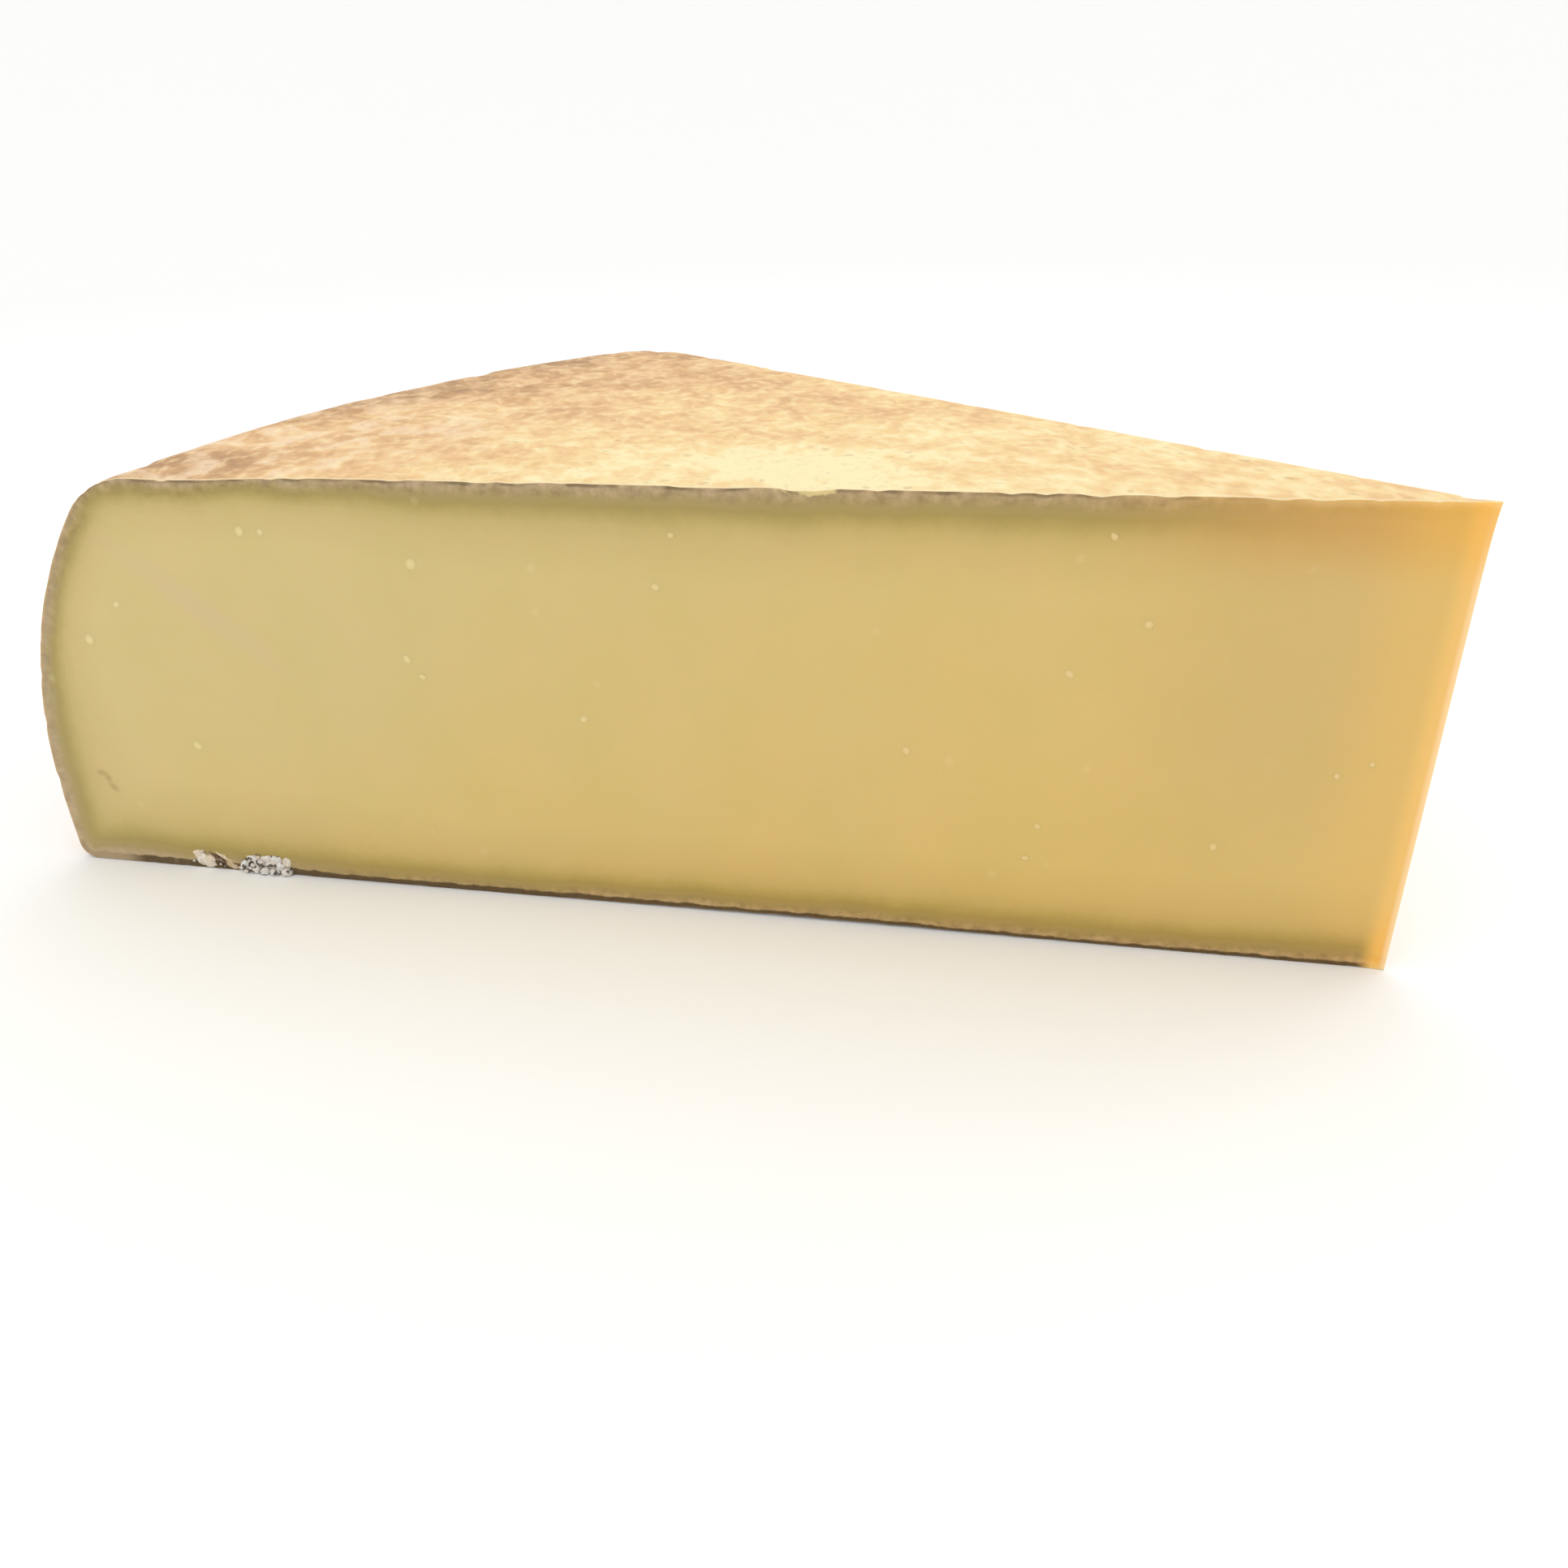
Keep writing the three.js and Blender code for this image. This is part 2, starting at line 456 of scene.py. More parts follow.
# the colour at every place of the cut faces, for the paste and for the crystals in it,
# with the share of crust and the crust's streaks
def pasteTone(tree, places):
    fromTip = lengthNode(tree, places, keep=(1, 1, 0))
    up = heightNode(tree, places)
    upShare = mathNode(tree, "DIVIDE", up, height)
    upper = easeNode(tree, upShare, 0.3, 0.7)
    depth = storedNode(tree, "underRind")
    slowSize, quickSize = paste["wobbleClouds"]
    slow = minusNode(tree, cloudNode(tree, places, slowSize), 0.5)
    quick = minusNode(tree, cloudNode(tree, places, quickSize, detail=3.0), 0.5)
    moved = plusNode(tree, depth, timesNode(tree, slow, paste["wobble"] * 2),
                     timesNode(tree, quick, paste["wobble"]))
    crustShare = easeNode(tree, moved, paste["crustDepth"] + 1.2 * mm, paste["crustDepth"] - 0.8 * mm)
    streaks = cloudNode(tree, places, paste["crustClouds"], detail=4.0, coarseness=0.6)

    band = bandTone(tree, fromTip, up, upper, moved, crustShare, streaks)
    lineDepth = plusNode(tree, depth, timesNode(tree, quick, 0.9 * mm))
    band = lineAndShadeTone(tree, places, fromTip, upShare, lineDepth, band)
    along, half, deep = wedgeShape["notches"][0]  # the wider notch
    inNotch = aroundNode(tree, along, height - 0.3 * mm, (1.2 * half, half, 2.6 * deep))
    inNotch = plusNode(tree, inNotch, timesNode(tree, quick, 2.6))
    band = colourNode(tree, easeNode(tree, inNotch, 1.1, 0.6, 0.0, 0.85), band, paste["notchTone"])
    band = fadedBandTone(tree, fromTip, upper, moved, band)

    body = colourNode(tree, 1.0, openPasteTone(tree, places, fromTip, upShare), band, "MULTIPLY")
    edgeShare = timesNode(tree, easeNode(tree, fromTip, *paste["edgeReach"]),
                          easeNode(tree, upShare, 0.97, 0.80, 0.2, 1.0))
    return colourNode(tree, edgeShare, body, paste["edgeLine"]), crustShare, streaks


def pasteFinish():
    finish, tree, shader = newFinish("paste")
    places = placesNode(tree, origin=(tip[0], tip[1], 0))
    body, crustShare, streaks = pasteTone(tree, places)

    # faint pale grains below the surface
    spacing, outer, inner = paste["grains"]
    ragged = cloudNode(tree, places, 2 * mm)
    grainDistance = plusNode(tree, scatterNode(tree, places, spacing), timesNode(tree, ragged, 1.6 * mm))
    grainShare = easeNode(tree, grainDistance, outer, inner, 0.0, 0.16)
    body = colourNode(tree, grainShare, body, paste["grainTone"])

    # painted shade in the hollow behind the main crumb, and a crooked little slit near the heel
    along, half, top = (crumbPatch[name][0] for name in ("along", "halfWidth", "rise"))
    inShadedHollow = plusNode(tree, aroundNode(tree, along, 0, (half, half, top)), timesNode(tree, ragged, 0.2))
    body = colourNode(tree, easeNode(tree, inShadedHollow, 1.0, 0.75, 0.0, 0.8), body, paste["hollowShadeTone"])
    for along, lift, turn, half in paste["slits"]:
        inSlit = aroundNode(tree, along, lift, (half, half, paste["slitWidth"]), turn)
        body = colourNode(tree, easeNode(tree, inSlit, 1.0, 0.1, 0.0, 0.55), body, paste["slitTone"])
    tree.links.new(body, shader.inputs["Base Color"])

    # semi-matte, drier in the crust
    sheen = easeNode(tree, cloudNode(tree, places, paste["sheenClouds"]), 0.3, 0.7, *paste["roughness"])
    rough = easeNode(tree, crustShare, 0.0, 1.0, sheen, paste["crustRoughness"])
    tree.links.new(rough, shader.inputs["Roughness"])
    rippleSize, rippleRise = paste["ripples"]
    ripples = bumpNode(tree, cloudNode(tree, places, rippleSize), rippleRise, 0.5)
    crumble = bumpNode(tree, timesNode(tree, streaks, crustShare), paste["crumble"], 0.8, ripples)
    tree.links.new(crumble, shader.inputs["Normal"])
    shader.inputs["Subsurface Weight"].default_value = paste["subsurface"]
    shader.inputs["Subsurface Radius"].default_value = paste["subsurfaceReach"]
    shader.inputs["Subsurface Scale"].default_value = paste["subsurfaceDepth"]
    shader.inputs["IOR"].default_value = 1.42
    return finish


# rind: grainy, cream and orange tan, browner and pinker towards the heel

rind = {
    "tones": (  # from the palest to the most worn
        (0.0, paint(240, 226, 175)),
        (0.14, paint(238, 215, 160)),
        (0.32, paint(234, 200, 142)),
        (0.50, paint(225, 184, 131)),
        (0.70, paint(207, 163, 114)),
        (1.0, paint(172, 132, 92)),
    ),
    "pinkBloom": paint(236, 211, 180),
    "fleck": paint(240, 225, 180),  # lighter grains
    "speck": paint(178, 138, 96),
    "rimTone": paint(238, 220, 178),
    # the rind's dark lower edge, with painted shade of the gap under the wedge on it
    "footRindAndShadeTone": paint(92, 68, 46),
    # clouds of three sizes: size, the noise values between which they turn, strength
    "patches": (32 * mm, 0.32, 0.68, 0.18),
    "blotches": (8.8 * mm, 0.30, 0.70, 0.26),
    "flecks": (3.7 * mm, 0.28, 0.72, 0.23),
    "grain": 2.0 * mm,
    "speckSpacing": 7 * mm,
    "grainTurn": 0.45,  # the marks run across the wedge, a little towards the heel
    "grainScale": (0.85, 1.25, 1.0),
    # how worn it is, and how that changes: between which distances, and by how much at either
    "worn": 0.24,
    "heelward": (150 * mm, 310 * mm, 0.0, 0.45),
    "overEdge": (250 * mm, 285 * mm, 0.0, 0.12),
    "farward": (8 * mm, 90 * mm, -0.05, 0.14),
    "tipward": (70 * mm, 15 * mm, 0.0, 0.16),
    # rubbed places on top: from the tip along x and y, half sizes, how much paler (below zero: darker)
    "rubbedPlaces": (
        (-132 * mm, 18 * mm, 34 * mm, 26 * mm, 0.22),
        (-258 * mm, 36 * mm, 20 * mm, 20 * mm, 0.12),
        (-230 * mm, 68 * mm, 32 * mm, 28 * mm, 0.16),
        (-92 * mm, 2 * mm, 62 * mm, 14 * mm, 0.11),
        (-264 * mm, 8 * mm, 28 * mm, 22 * mm, -0.22),
    ),
    "rubbedHeight": 30 * mm,
    "roughness": 0.78,
    "subsurface": 0.10,
    "subsurfaceDepth": 1.5 * mm,
    "subsurfaceReach": (1.0, 0.6, 0.3),
}


# cream in the middle, amber by the tip, brown by the heel and the far corner, all broken up by clouds
def wornTone(tree, fromTip, fromFront, clouds):
    worn = plusNode(tree, easeNode(tree, fromTip, *rind["heelward"]),
                    easeNode(tree, fromTip, *rind["overEdge"]),
                    easeNode(tree, fromFront, *rind["farward"]),
                    easeNode(tree, fromTip, *rind["tipward"]), rind["worn"])
    for alongX, alongY, halfX, halfY, amount in rind["rubbedPlaces"]:
        rubbed = placesNode(tree, origin=(tip[0] + alongX, tip[1] + alongY, height),
                            scale=(halfX, halfY, rind["rubbedHeight"]))
        worn = minusNode(tree, worn, easeNode(tree, lengthNode(tree, rubbed), 1.0, 0.3, 0.0, amount))
    for cloud, name in zip(clouds, ("patches", "blotches", "flecks")):
        low, high, amount = rind[name][1:]
        worn = plusNode(tree, worn, easeNode(tree, cloud, low, high, amount * 0.5, amount * -0.5))
    return rampNode(tree, worn, rind["tones"])


def rindFinish():
    finish, tree, shader = newFinish("rind")
    places = placesNode(tree, origin=(tip[0], tip[1], 0))
    fromTip = lengthNode(tree, places, keep=(1, 1, 0))
    fromFront = lengthNode(tree, places, keep=(0, 1, 0))
    marks = placesNode(tree, origin=(tip[0], tip[1], 0), turn=(0, 0, rind["grainTurn"]),
                       scale=rind["grainScale"])
    patches = cloudNode(tree, places, rind["patches"][0], detail=1.5)
    blotches = cloudNode(tree, marks, rind["blotches"][0], detail=2.0, twist=0.3)
    flecks = cloudNode(tree, marks, rind["flecks"][0], detail=1.5, twist=0.3)
    grain = cloudNode(tree, marks, rind["grain"], detail=1.5)
    body = wornTone(tree, fromTip, fromFront, (patches, blotches, flecks))

    # a pink bloom before the heel, then pale flecks and dark specks
    bloomShare = timesNode(tree, easeNode(tree, blotches, 0.46, 0.64, 0.0, 0.6),
                           easeNode(tree, fromFront, 100 * mm, 45 * mm, 0.25, 1.0),
                           easeNode(tree, fromTip, 180 * mm, 240 * mm),
                           easeNode(tree, fromTip, 312 * mm, 280 * mm, 0.2, 1.0))
    body = colourNode(tree, bloomShare, body, rind["pinkBloom"])
    body = colourNode(tree, easeNode(tree, flecks, 0.56, 0.70, 0.0, 0.28), body, rind["fleck"])
    speckDistance = plusNode(tree, scatterNode(tree, marks, rind["speckSpacing"]),
                             timesNode(tree, grain, 2.6 * mm))
    speckShare = easeNode(tree, speckDistance, 2.8 * mm, 1.5 * mm, 0.0, 0.32)
    body = colourNode(tree, speckShare, body, rind["speck"])
    body = colourNode(tree, easeNode(tree, grain, 0.42, 0.28, 0.0, 0.16), body, rind["speck"])
    body = colourNode(tree, easeNode(tree, grain, 0.58, 0.72, 0.0, 0.16), body, rind["fleck"])

    # pale worn rim at the cuts; at the foot a dark rim, the rind's darker lower edge with the board's
    # shadow painted on it
    nearCut = storedNode(tree, "fromCut")
    body = colourNode(tree, easeNode(tree, nearCut, 1.1 * mm, 0.2 * mm, 0.0, 0.6), body, rind["rimTone"])
    footShare = timesNode(tree, easeNode(tree, nearCut, 3.2 * mm, 1.6 * mm),
                          easeNode(tree, heightNode(tree, places), 3.0 * mm, 1.8 * mm))
    body = colourNode(tree, footShare, body, rind["footRindAndShadeTone"])
    tree.links.new(body, shader.inputs["Base Color"])

    shader.inputs["Roughness"].default_value = rind["roughness"]
    shader.inputs["Subsurface Weight"].default_value = rind["subsurface"]
    shader.inputs["Subsurface Radius"].default_value = rind["subsurfaceReach"]
    shader.inputs["Subsurface Scale"].default_value = rind["subsurfaceDepth"]
    lumps = bumpNode(tree, flecks, 1.2 * mm, 0.6)
    tree.links.new(bumpNode(tree, grain, 0.5 * mm, 0.6, lumps), shader.inputs["Normal"])
    return finish


# wedge body: one closed skin of four grids that share their borders: rind, tip edge and the two cuts

wedgeShape = {
    "along": 170,  # how many cells from tip to heel
    "upright": 60,  # from the shoulder to the foot
    "across": 150,  # from cut to cut
    "pull": 0.5,  # how far the cells gather towards the edges
    "acrossPull": 0.8,
    "tipBlend": 1.5 * mm,  # how far from the tip its rounding still swells the cuts
    "shoulderCorner": math.radians(65),  # slope at which the top grid ends
    "rindRelief": ((34 * mm, 0.28 * mm), (9 * mm, 0.16 * mm)),  # cell, rise
    "pitCell": 7 * mm,
    "pitRange": (0.42, 0.75),  # the noise values between which a pit deepens
    "pitDepth": 0.4 * mm,
    "edgeWear": 0.15 * mm,
    "edgeWearWidth": 0.6 * mm,
    "edgeWearCell": 7 * mm,
    "chipCell": 3.2 * mm,
    "chipRange": (0.25, 0.7),
    "chipDepth": 0.3 * mm,
    "chipWidth": 0.9 * mm,
    "notches": (  # where the knife slipped: from the tip, half width, depth
        (122.5 * mm, 4.5 * mm, 0.5 * mm),
        (67 * mm, 2.2 * mm, 0.4 * mm),
    ),
    "notchWidth": 1.4 * mm,
    "edgeCalm": (0.5 * mm, 14 * mm),  # the lumps come in over this distance from the cuts
    "droop": 1.0 * mm,  # the top sinks a little before the shoulder
    "droopAt": 261 * mm,
    "droopWidth": 21 * mm,
    "droopReach": 10 * mm,  # and mostly beside the front cut
    "heelStretch": (0.37, 0.65),  # shares of the section's length between which the heel lies
    "heelSamples": 700,
    "cornerEase": 3.5,  # lower: the band under the rind turns its corners more widely
    "cornerWear": 1.2 * mm,  # the far corner is rubbed round
    "cornerWearWidth": 9 * mm,
    "footRim": 0.05 * mm,  # how far the worn lower rim stays off the board at the cuts
    "footRimWidth": 1.8 * mm,
    "cutRelief": ((75 * mm, 0.45 * mm), (20 * mm, 0.08 * mm)),
    "crustRelief": (2.0 * mm, 0.22 * mm),
    "crustDepth": 3.4 * mm,
    "seamCalm": 0.8 * mm,  # the cuts' relief comes in over this distance from their borders
    "tipCalm": 6 * mm,  # and the rind's from the tip
    "sharpAngle": math.radians(52),
    "archRise": 0.6 * mm,  # the underside lifts a little off the board by the front cut
    "archAt": 122 * mm,
    "archWidth": 52 * mm,
    "archFade": 60 * mm,
    "seeds": {"pits": 7, "wear": 8, "chips": 9, "waves": 20, "crust": 30, "crumbs": 31},
}
crumbPatch = {
    "along": (262 * mm, 277 * mm),  # distances from the tip of the two crumbly places
    "halfWidth": (7.6 * mm, 6.6 * mm),
    "rise": (5.6 * mm, 5.6 * mm),
    "hollow": (1.0 * mm, 0.6 * mm),
    "wobbleCell": 2.5 * mm,
}


# the wheel's section as (distance from the axis, height): flat top, shoulder arc tangent to one long
# heel arc, an upright stretch, a tight foot arc and the flat underside, in three stretches
def wheelSection(start):
    shoulderCentre = (wheel["flatTopRadius"], height - wheel["shoulderRadius"])
    slope, corner = wheel["heelSlope"], wedgeShape["shoulderCorner"]
    quarter = math.pi / 2
    topArc = arcPoints(shoulderCentre, wheel["shoulderRadius"], quarter, corner)
    shoulderArc = arcPoints(shoulderCentre, wheel["shoulderRadius"], corner, slope)
    join = shoulderArc[-1]
    heelRadius = (reach - join[0]) / (1 - math.cos(slope))
    heelCentre = (reach - heelRadius, join[1] - heelRadius * math.sin(slope))
    heelArc = arcPoints(heelCentre, heelRadius, slope, 0, 80)
    footCentre = (reach - wheel["footRadius"], wheel["footRadius"])
    footArc = arcPoints(footCentre, wheel["footRadius"], 0, -quarter / 2)
    undersideArc = arcPoints(footCentre, wheel["footRadius"], -quarter / 2, -quarter)
    topPath = np.vstack([[start, height], topArc])
    heelPath = np.vstack([shoulderArc, heelArc[1:], footArc])
    undersidePath = np.vstack([undersideArc, [start, 0]])
    return topPath, heelPath, undersidePath


# rows of the section with their outward normals, and the shares used along and up the cut faces
def sectionRows(start):
    topPath, heelPath, undersidePath = wheelSection(start)
    alongSteps = gatheredSteps(wedgeShape["along"], wedgeShape["pull"])
    uprightSteps = gatheredSteps(wedgeShape["upright"], wedgeShape["pull"])
    rows = np.vstack([
        alongPath(topPath, alongSteps),
        alongPath(heelPath, uprightSteps)[1:],
        alongPath(undersidePath, 1 - alongSteps[::-1])[1:],
    ])
    tangent = np.gradient(rows, axis=0)
    normals = np.stack([-tangent[:, 1], tangent[:, 0]], axis=1)
    normals /= np.linalg.norm(normals, axis=1, keepdims=True)
    return rows, normals, alongSteps, uprightSteps


# plan places about the tip's rounding: centre + radius * (cos, sin), from one cut's normal to the other's
def tipRounding(acrossSteps):
    radius = wheel["tipRadius"]
    middle = np.array([-math.cos(cutAngle / 2), math.sin(cutAngle / 2)])
    centre = (radius - wheel["tipBeyond"]) * middle
    angles = -math.pi / 2 + acrossSteps * (math.pi - cutAngle)
    return centre + radius * np.stack([np.cos(angles), np.sin(angles)], axis=1)


# how far the burr at the top of the tip stands out, falling off as e to the minus depth below the top
def tipFlare(levels):
    flare = wheel["tipFlare"] * np.exp((levels - height) / wheel["tipFlareDepth"])
    return np.stack([flare, np.zeros_like(flare)], axis=-1)


# relief of the rind along its normal: lumps of several sizes, less scattered pits, less wear and chips that
# fall off as e to the minus distance from the cut, less the droop, the rubbed corner and the notches
def rindRelief(places, rows, rowNormals, fromFront, fromBack):
    fromCut = np.minimum(fromFront, fromBack)
    rise = np.zeros(places.shape[:2])
    for seed, (cell, amount) in enumerate(wedgeShape["rindRelief"]):
        rise += amount * latticeNoise(places, cell, seed)
    seeds = wedgeShape["seeds"]
    pits = latticeNoise(places, wedgeShape["pitCell"], seeds["pits"])
    rise -= wedgeShape["pitDepth"] * easeBetween(pits, *wedgeShape["pitRange"])
    rise *= 0.2 + 0.8 * easeBetween(fromCut, *wedgeShape["edgeCalm"])
    wear = 0.7 + 0.3 * latticeNoise(places, wedgeShape["edgeWearCell"], seeds["wear"])
    rise -= wedgeShape["edgeWear"] * wear * np.exp(-fromCut / wedgeShape["edgeWearWidth"])
    chips = latticeNoise(places, wedgeShape["chipCell"], seeds["chips"])
    chips = easeBetween(chips, *wedgeShape["chipRange"])
    rise -= wedgeShape["chipDepth"] * chips * np.exp(-fromCut / wedgeShape["chipWidth"])
    facingUp = easeBetween(rowNormals[:, 1], 0.5, 0.95)[:, None]
    droop = np.exp(-((rows[:, :1] - wedgeShape["droopAt"]) / wedgeShape["droopWidth"]) ** 2)
    droop = droop * (0.15 + 0.85 * np.exp(-fromFront / wedgeShape["droopReach"]))
    rise -= wedgeShape["droop"] * facingUp * droop
    fromCorner = np.hypot(rows[:, :1] - wheel["flatTopRadius"], fromBack)
    cornerShare = np.exp(-(fromCorner / wedgeShape["cornerWearWidth"]) ** 2)
    rise -= wedgeShape["cornerWear"] * facingUp * cornerShare
    for place, half, depth in wedgeShape["notches"]:
        inNotch = np.exp(-((rows[:, :1] - place) / half) ** 4)
        rise -= depth * facingUp * inNotch * np.exp(-fromFront / wedgeShape["notchWidth"])
    facingDown = easeBetween(-rowNormals[:, 1], 0.5, 0.95)[:, None]
    return rise * (1 - facingDown) - 0.5 * np.abs(rise) * facingDown  # nothing sinks below the floor


# the rind: tip + distance * direction in plan for each section row and each angle between the cuts
def rindGrid(rows, rowNormals, acrossSteps, rounding, start):
    angles = acrossSteps * cutAngle
    directions = np.stack([-np.cos(angles), np.sin(angles)], axis=1)
    distance = rows[:, 0][:, None, None]
    nearTip = np.exp(-(distance - start) / wedgeShape["tipBlend"])
    rounded = rounding - start * directions + tipFlare(rows[:, 1])[:, None]
    plan = distance * directions + nearTip * rounded
    level = np.broadcast_to(rows[:, 1][:, None, None], (*plan.shape[:2], 1))
    places = np.concatenate([plan, level], axis=2)
    fromFront = rows[:, :1] * np.sin(angles)
    fromBack = rows[:, :1] * np.sin(cutAngle - angles)
    rise = rindRelief(places, rows, rowNormals, fromFront, fromBack)
    rise *= easeBetween(rows[:, :1], start, wedgeShape["tipCalm"])
    outward = np.concatenate([
        rowNormals[:, 0][:, None, None] * directions,
        np.broadcast_to(rowNormals[:, 1][:, None, None], (*plan.shape[:2], 1)),
    ], axis=2)
    places = places + rise[..., None] * outward
    hump = np.exp(-((rows[:, :1] - wedgeShape["archAt"]) / wedgeShape["archWidth"]) ** 2)
    fromCut = np.minimum(fromFront, fromBack)
    lift = wedgeShape["archRise"] * hump * np.exp(-fromFront / wedgeShape["archFade"])
    lift += wedgeShape["footRim"] * np.exp(-(fromCut / wedgeShape["footRimWidth"]) ** 2)
    places[..., 2] += lift * easeBetween(-rowNormals[:, 1:], 0.3, 0.95)
    return places, fromCut


# a Coons patch: the two ruled surfaces between opposite borders, added, less the corners' bilinear one
def coonsPatch(top, bottom, tipSide, heelSide, alongSteps, uprightSteps):
    along = alongSteps[:, None, None]
    down = uprightSteps[None, :, None]
    between = (1 - down) * top[:, None] + down * bottom[:, None]
    across = (1 - along) * tipSide[None] + along * heelSide[None]
    corners = (1 - down) * ((1 - along) * top[0] + along * top[-1])
    corners = corners + down * ((1 - along) * bottom[0] + along * bottom[-1])
    return between + across - corners


# least distance from the places of a cut face to its rind, up to the top, down to the foot or out to the
# heel; a corner counts both: the nearer one over (1 + (nearer / farther) ** ease) ** (1 / ease)
def depthUnderRind(distances, levels, topLevels, footLevels, start):
    samples = wedgeShape["heelSamples"]
    heel = alongPath(np.vstack(wheelSection(start)), np.linspace(*wedgeShape["heelStretch"], samples))
    apart = np.hypot(distances[..., None] - heel[:, 0], levels[..., None] - heel[:, 1]).min(axis=-1)
    upright = np.minimum(topLevels[:, None] - levels, levels - footLevels[:, None])
    near = np.maximum(np.minimum(apart, upright), 0)
    far = np.maximum(apart, upright)
    share = near / np.maximum(far, near + 0.001 * mm)
    ease = wedgeShape["cornerEase"]
    return near * (1 + share ** ease) ** (-1 / ease)


# slow waves that the knife left on the cut faces
def knifeWaves(places):
    rise = np.zeros(places.shape[:-1])
    for seed, (cell, amount) in enumerate(wedgeShape["cutRelief"]):
        rise += amount * latticeNoise(places, cell, wedgeShape["seeds"]["waves"] + seed)
    return rise


# how far a cut face stands out: knife waves, a rough crust and the hollows of the crumbly places
def cutRelief(places, distances, levels, depth, crumbly):
    rise = knifeWaves(places)
    cell, amount = wedgeShape["crustRelief"]
    crust = 1 - easeBetween(depth, wedgeShape["crustDepth"] - 1 * mm, wedgeShape["crustDepth"] + 1 * mm)
    seeds = wedgeShape["seeds"]
    rise += amount * crust * latticeNoise(places, cell, seeds["crust"])
    if crumbly:
        shapes = (crumbPatch[name] for name in ("along", "halfWidth", "rise", "hollow"))
        for place, half, top, hollow in zip(*shapes):
            wobble = 0.25 * latticeNoise(places, crumbPatch["wobbleCell"], seeds["crumbs"])
            off = np.hypot((distances - place) / half, levels / top) + wobble
            rise -= hollow * (1 - easeBetween(off, 0.75, 1.0))
    return rise


# one cut face, from the rind's border columns and the tip line
def cutFace(border, tipLine, angle, start, alongSteps, uprightSteps, crumbly):
    turn = wedgeShape["along"]
    foot = turn + wedgeShape["upright"]
    top, heelSide, bottom = border[:turn + 1], border[turn:foot + 1], border[foot:][::-1]
    places = coonsPatch(top, bottom, tipLine, heelSide, alongSteps, uprightSteps)
    distances = np.hypot(places[..., 0], places[..., 1])
    levels = places[..., 2]
    depth = depthUnderRind(distances, levels, top[:, 2], bottom[:, 2], start)
    outward = np.array([-math.sin(angle), -math.cos(angle), 0])
    if angle > 0:
        outward = -outward
    fromBorder = np.minimum(depth, distances - start)
    fixed = easeBetween(fromBorder, 0, wedgeShape["seamCalm"])[..., None]
    rise = cutRelief(places, distances, levels, depth, crumbly)[..., None]
    places = places + rise * fixed * outward
    places[:, 0], places[:, -1], places[0], places[-1] = top, bottom, tipLine, heelSide
    depth[:, 0], depth[:, -1], depth[-1] = 0, 0, 0
    return places, depth


def buildWedge():
    start = (wheel["tipRadius"] - wheel["tipBeyond"]) * math.cos(cutAngle / 2)  # where the grids begin
    rows, rowNormals, alongSteps, uprightSteps = sectionRows(start)
    acrossSteps = gatheredSteps(wedgeShape["across"], wedgeShape["acrossPull"])
    rounding = tipRounding(acrossSteps)
    rindPlaces, rindFromCut = rindGrid(rows, rowNormals, acrossSteps, rounding, start)
    rindDepth = np.zeros(rindPlaces.shape[:2])

    # the blunt tip edge: straight lines from the rind's first row down to its last
    down = uprightSteps[:, None, None]
    tipPlaces = (1 - down) * rindPlaces[0] + down * rindPlaces[-1]
    straight = (1 - down) * tipFlare(rows[:1, 1]) + down * tipFlare(rows[-1:, 1])
    tipPlaces[..., :2] += tipFlare(tipPlaces[..., 2]) - straight
    tipPlaces[0], tipPlaces[-1] = rindPlaces[0], rindPlaces[-1]
    tipDepth = np.minimum(height - tipPlaces[..., 2], tipPlaces[..., 2]).clip(0)
    tipDepth[0], tipDepth[-1] = 0, 0

    steps = (start, alongSteps, uprightSteps)
    front, frontDepth = cutFace(rindPlaces[:, 0], tipPlaces[:, 0], 0, *steps, crumbly=True)
    back, backDepth = cutFace(rindPlaces[:, -1], tipPlaces[:, -1], cutAngle, *steps, crumbly=False)
    grids = [rindPlaces, tipPlaces, front, back]
    depths = [rindDepth, tipDepth, frontDepth, backDepth]
    turnedOver = [True, False, False, True]
    quads = []
    offset = 0
    for grid, over in zip(grids, turnedOver):
        quads.append(gridQuads(*grid.shape[:2], over) + offset)
        offset += grid.shape[0] * grid.shape[1]
    finishOfFace = np.concatenate([np.full(len(q), 0 if n == 0 else 1) for n, q in enumerate(quads)])
    points = np.concatenate([grid.reshape(-1, 3) for grid in grids])
    depth = np.concatenate([d.ravel() for d in depths])

    # the grids share their borders exactly, so equal points become one
    points, first, number = np.unique(points, axis=0, return_index=True, return_inverse=True)
    faces = number.ravel()[np.concatenate(quads)]
    points = points + [tip[0], tip[1], 0]
    body = meshObject("wedge_body", points, faces, [rindFinish(), pasteFinish()], finishOfFace)
    fromCut = np.concatenate([rindFromCut.ravel(), np.zeros(len(depth) - rindFromCut.size)])
    storeValues(body, "underRind", depth[first])
    storeValues(body, "fromCut", fromCut[first])
    body.data.set_sharp_from_angle(angle=wedgeShape["sharpAngle"])
    return body


wedgeBody = buildWedge()
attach(wedgeBody, "root")
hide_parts("cheese_wedge")
print("wedge body built:", len(wedgeBody.data.polygons), "faces")


# grains: little closed lumps, all of one kind in one mesh

